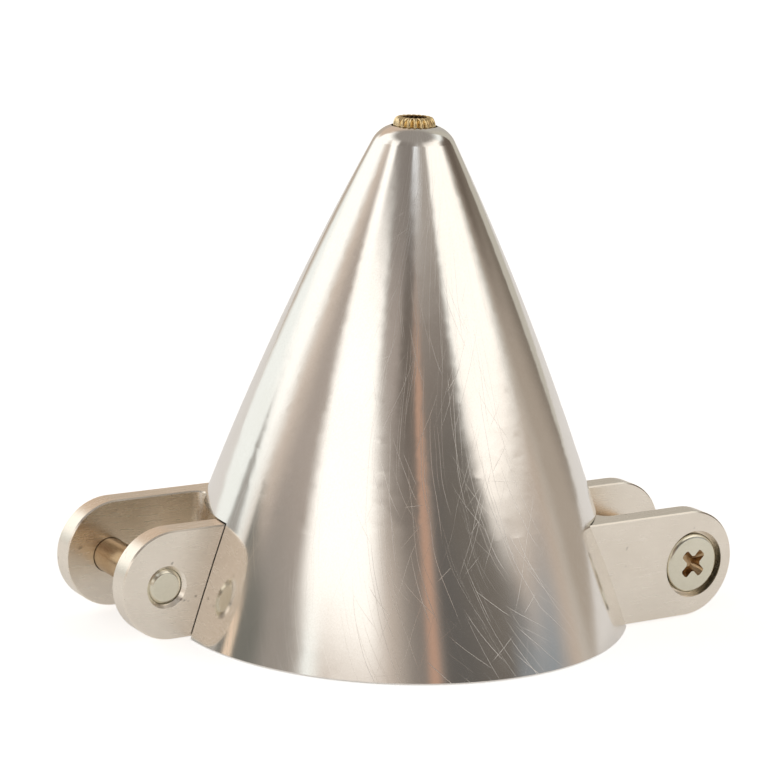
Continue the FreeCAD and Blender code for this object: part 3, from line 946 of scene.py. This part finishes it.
def cut_out(mesh: bpy.types.Mesh, cutter: bpy.types.Mesh) -> bpy.types.Mesh:
    """One mesh with another cut out of it.

    Args:
        mesh: what is cut.
        cutter: what cuts it.

    Returns:
        The new mesh, without materials.  The two it came from are removed.
    """
    body = bpy.data.objects.new("cut_body", mesh)
    tool = bpy.data.objects.new("cut_tool", cutter)
    for made in (body, tool):
        bpy.context.scene.collection.objects.link(made)
    modifier = body.modifiers.new("cut", "BOOLEAN")
    modifier.operation = "DIFFERENCE"
    modifier.solver = "EXACT"
    modifier.object = tool
    bpy.context.view_layer.update()
    evaluated = body.evaluated_get(bpy.context.evaluated_depsgraph_get())
    result = bpy.data.meshes.new_from_object(evaluated)
    result.materials.clear()
    for made in (body, tool):
        bpy.data.objects.remove(made)
    bpy.data.meshes.remove(mesh)
    bpy.data.meshes.remove(cutter)
    return result


def round_edge(corner: Point, radius: float, rise: float, count: int = 7) -> list[Point]:
    """Points of a quarter ellipse from a turned body's side over to its top.

    Args:
        corner: radius and height of the sharp corner that is rounded.
        radius: how far the rounding reaches in from the side.
        rise: how far it reaches down from the top.
        count: number of points.

    Returns:
        Radius and height of each point, from the side to the top.
    """
    outer, top = corner
    angles = [math.pi / 2 * step / (count - 1) for step in range(count)]
    return [(outer - radius * (1 - math.cos(a)), top - rise * (1 - math.sin(a))) for a in angles]


def set_piece(
    node: str, mesh: bpy.types.Mesh, place: Matrix, materials: Sequence[bpy.types.Material]
) -> bpy.types.Object:
    """Puts a finished mesh in the scene for a frame node.

    Args:
        node: the node that it stands for.
        mesh: the mesh about its own Z axis.
        place: where it goes.
        materials: its materials, in the order of its faces' numbers.

    Returns:
        The piece's object.
    """
    name = node + "_detailed"
    mesh.name = name
    for material in materials:
        mesh.materials.append(material)
    mesh.transform(place)
    mesh.shade_smooth()
    mesh.set_sharp_from_angle(angle=SHARP_ANGLE)
    piece = bpy.data.objects.new(name, mesh)
    bpy.context.scene.collection.objects.link(piece)
    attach(piece, BODY)
    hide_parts(node)
    LOG.info("%s: %d faces", name, len(mesh.polygons))
    return piece


@dataclass
class BladeScrew:
    """Fitted cross-recess screw with a rounded head, a plain shank and a threaded end."""

    node: str
    finish: MetalFinish = PLATED
    painted_light_finish: MetalFinish = SHADE_AND_WARM_REFLECTION    # painted shade in the recess and painted warm reflection on the shank
    shank: float = 1.5 * MM
    head_height: float = 1.0 * MM
    head_fit: float = 0.09 * MM           # how far the head's side lies outside its solid's
    head_lift: float = 0.15 * MM          # how far its top lies above its solid's
    rim_reach: float = 0.42 * MM
    rim_rise: float = 0.34 * MM
    crown: float = 0.05 * MM
    arm: float = 1.36 * MM
    arm_half: float = 0.40 * MM
    arm_tip: float = 0.55                 # an arm's width at its tip, as a share
    arm_upright: float = 0.45             # share of an arm's width that doesn't taper
    recess_depth: float = 0.95 * MM
    recess_taper: float = 0.42
    fillet: float = 0.18 * MM
    thread_length: float = 2.3 * MM
    thread_pitch: float = 0.5 * MM
    thread_depth: float = 0.20 * MM
    thread_relief: float = 0.02 * MM      # how far its crests lie inside the shank's side
    thread_start: float = 0.10 * MM       # from the end's chamfer to the first crest
    end_chamfer: float = 0.25 * MM
    end_break: float = 0.03 * MM
    edge_break: float = 0.05 * MM
    steps: int = 96

    def profile(self, head: float, length: float) -> list[Point]:
        """The screw's half outline, end at 0 and head's top at its length.

        Args:
            head: the head's radius.
            length: the screw's length over all.

        Returns:
            Radius and height of each ring.
        """
        under = length - self.head_height - self.head_lift
        flat = self.shank - self.end_chamfer
        crest = self.shank - self.thread_relief
        root = self.shank - self.thread_depth
        edge = self.edge_break
        rings = [(0.0, 0.0), (0.6 * flat, 0.0), (flat - 2.0 * edge, 0.0), (flat - edge, 0.0)]
        rings += [(flat, self.end_break), (crest, self.end_chamfer)]
        turn = self.end_chamfer + self.thread_start
        while turn + self.thread_pitch < self.thread_length:
            rings += [
                (crest, turn),
                (root, turn + 0.35 * self.thread_pitch),
                (root, turn + 0.55 * self.thread_pitch),
                (crest, turn + 0.9 * self.thread_pitch),
            ]
            turn += self.thread_pitch
        rings += [(crest, self.thread_length), (self.shank, self.thread_length + edge)]
        rings += [(self.shank, under), (head - edge, under), (head, under + edge)]
        rings += round_edge((head, length - self.crown), self.rim_reach, self.rim_rise)
        rings += [(0.6 * head, length - 0.3 * self.crown), (0.3 * head, length), (0.0, length)]
        return rings

    def recess_outline(self, share: float) -> list[Point]:
        """The cross at one depth.

        Args:
            share: its size against the mouth's.

        Returns:
            The outline's corners, turned half a right angle.
        """
        arm = self.arm * share
        half = self.arm_half * (self.arm_upright + (1.0 - self.arm_upright) * share)
        tip = self.arm_tip * half
        shoulder = arm - 0.5 * tip
        inner = half + self.fillet
        quarter = [(shoulder, -half), (arm, -tip), (arm, tip), (shoulder, half)]
        quarter += [(inner, half), (half, inner)]
        return [
            rotated(point, math.radians(45.0 + 90.0 * number))
            for number in range(4)
            for point in quarter
        ]

    def recess_cutter(self, length: float) -> bpy.types.Mesh:
        """The body that cuts the tapered cross recess, a little taller than it is deep.

        Args:
            length: the screw's length over all.

        Returns:
            The cutter's mesh.
        """
        over = 0.1 * MM
        mouth = self.recess_outline(1.0 + over / self.recess_depth * (1.0 - self.recess_taper))
        floor = self.recess_outline(self.recess_taper)
        return lofted_mesh("cross_cutter", [(length - self.recess_depth, floor), (length + over, mouth)])

    def build(self, shelf: FinishShelf) -> bpy.types.Object:
        """Makes the screw in its node's place.

        Args:
            shelf: hands out the materials.

        Returns:
            The piece's object.
        """
        low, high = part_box(self.node)
        head = (high.x - low.x) / 2 + self.head_fit
        length = high.y - low.y + self.head_lift
        mesh = turned_mesh(self.node, self.profile(head, length), self.steps)
        mesh = cut_out(mesh, self.recess_cutter(length))
        # Painted light: the recess gets the darker finish for its shade, and the shank for a warm
        # reflection.
        recess_floor = length - 1.1 * self.recess_depth
        recess_mouth = length - self.crown - 0.02 * MM
        for face in mesh.polygons:
            out = math.hypot(face.center.x, face.center.y)
            level = face.center.z
            in_recess = out < self.arm and recess_floor < level < recess_mouth
            on_shank = out > 0.9 * self.shank and self.thread_length < level < length - self.head_height
            face.material_index = int(in_recess or on_shank)
        outward = 1.0 if low.y + high.y > 0 else -1.0
        middle = (low + high) / 2
        end = low.y if outward > 0 else high.y
        tilt = Matrix.Rotation(-outward * math.pi / 2, 4, "X")
        place = Matrix.Translation((middle.x, end, middle.z)) @ tilt
        materials = [shelf.take(self.finish), shelf.take(self.painted_light_finish)]
        return set_piece(self.node, mesh, place, materials)


@dataclass
class NoseScrew:
    """Socket screw with a knurled, rounded head in the nose."""

    node: str = "nose_screw"
    finish: MetalFinish = YELLOW
    painted_light_finish: MetalFinish = SHADED    # painted shade in the hollow in the head
    head_side: float = 0.95 * MM
    head_height: float = 1.75 * MM
    top_radius: float = 1.34 * MM
    dish_radius: float = 0.98 * MM
    dish_depth: float = 0.34 * MM
    unshaded_rim: float = 0.04 * MM          # width of the hollow's edge that isn't painted dark
    unshaded_depth: float = 0.07 * MM        # and its depth
    shank: float = 1.0 * MM
    end_chamfer: float = 0.2 * MM
    edge_break: float = 0.05 * MM
    flutes: int = 18
    flute_depth: float = 0.30 * MM
    flute_start: float = 0.1 * MM         # height over which the flutes start
    flute_end: float = 0.3 * MM           # width over which they run out beside the dish
    socket_flats: float = 1.5 * MM
    socket_depth: float = 1.1 * MM
    socket_turn: float = 4.0              # in degrees; keeps its corners off the mesh's edges
    samples: int = 12

    def profile(self, head: float, length: float) -> list[Point]:
        """The screw's half outline, end at 0 and head's top at its length.

        Args:
            head: the head's radius.
            length: the screw's length over all.

        Returns:
            Radius and height of each ring.
        """
        under = length - self.head_height
        side = under + self.head_side
        floor = length - self.dish_depth
        dip = self.top_radius - self.dish_radius
        edge = self.edge_break
        rings = [(0.0, 0.0), (self.shank - self.end_chamfer, 0.0), (self.shank, self.end_chamfer)]
        rings += [(self.shank, under), (head - edge, under), (head, under + edge)]
        rings.append((head, (under + side) / 2))
        rings += round_edge((head, length), head - self.top_radius, length - side, 12)
        rings += [
            (self.top_radius - dip * (1 - math.cos(turn)), length - self.dish_depth * math.sin(turn) ** 1.5)
            for turn in (0.3, 0.6, 0.9, 1.2)
        ]
        rings += [(self.dish_radius, floor), (0.95 * self.dish_radius, floor), (0.0, floor)]
        return rings

    def fluted(self, under: float, radius: float, height: float, angle: float) -> float:
        """A ring's radius with straight flutes in it, which run out on the head's top.

        Args:
            under: height of the head's underside.
            radius: the ring's radius.
            height: the ring's height.
            angle: where on the ring.

        Returns:
            The radius at that angle.
        """
        risen = share_of(height - under, self.flute_start)
        outside = share_of(radius - self.dish_radius, self.flute_end)
        lobe = abs(math.cos(0.5 * self.flutes * angle))
        return radius - self.flute_depth * risen * outside * (1.0 - lobe)

    def socket_cutter(self, length: float) -> bpy.types.Mesh:
        """The body that cuts the hexagon socket.

        Args:
            length: the screw's length over all.

        Returns:
            The cutter's mesh.
        """
        corner = self.socket_flats / math.sqrt(3)
        hexagon = [polar(corner, math.radians(self.socket_turn + 60.0 * number)) for number in range(6)]
        floor, mouth = length - self.socket_depth, length + 0.1 * MM
        return lofted_mesh("socket_cutter", [(floor, hexagon), (mouth, hexagon)])

    def build(self, shelf: FinishShelf) -> bpy.types.Object:
        """Makes the screw in its node's place.

        Args:
            shelf: hands out the materials.

        Returns:
            The piece's object.
        """
        low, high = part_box(self.node)
        length = high.z - low.z
        under = length - self.head_height
        rings = self.profile((high.x - low.x) / 2, length)
        mesh = turned_mesh(self.node, rings, self.flutes * self.samples, partial(self.fluted, under))
        mesh = cut_out(mesh, self.socket_cutter(length))
        # Painted shade: the hollow in the head, bar its edge, gets the dark finish in place of the shade
        # that falls there.
        for face in mesh.polygons:
            out = math.hypot(face.center.x, face.center.y)
            in_painted_shade = under < face.center.z < length - self.unshaded_depth
            face.material_index = int(in_painted_shade and out < self.top_radius - self.unshaded_rim)
        middle = (low + high) / 2
        place = Matrix.Translation((middle.x, middle.y, low.z))
        materials = [shelf.take(self.finish), shelf.take(self.painted_light_finish)]
        return set_piece(self.node, mesh, place, materials)


@dataclass
class MetalPieces:
    """Frame pieces that share one finish."""

    names: tuple[str, ...]
    finish: MetalFinish

    def build(self, nodes: dict[str, bpy.types.Object], shelf: FinishShelf) -> None:
        """Dresses the pieces."""
        for name in self.names:
            shelf.dress(nodes[name], self.finish)


def main() -> None:
    """Builds the scene round the frame."""
    logging.basicConfig(level=logging.INFO, format="%(name)s %(message)s")
    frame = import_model()
    bpy.context.scene.view_settings.view_transform = "Standard"
    nodes = frame["nodes"]
    shelf = FinishShelf()
    camera = StudioCamera()
    camera.build()
    Studio(camera.azimuth).build()
    SpinnerShell().build(nodes, shelf)
    MetalPieces(("blade_yoke", "shaft_collet"), MILLED).build(nodes, shelf)
    MetalPieces(("clamp_washer", "clamp_nut"), PLATED).build(nodes, shelf)
    for node in ("blade_screw_left", "blade_screw_right"):
        BladeScrew(node).build(shelf)
    NoseScrew().build(shelf)


if __name__ == "__main__":
    main()
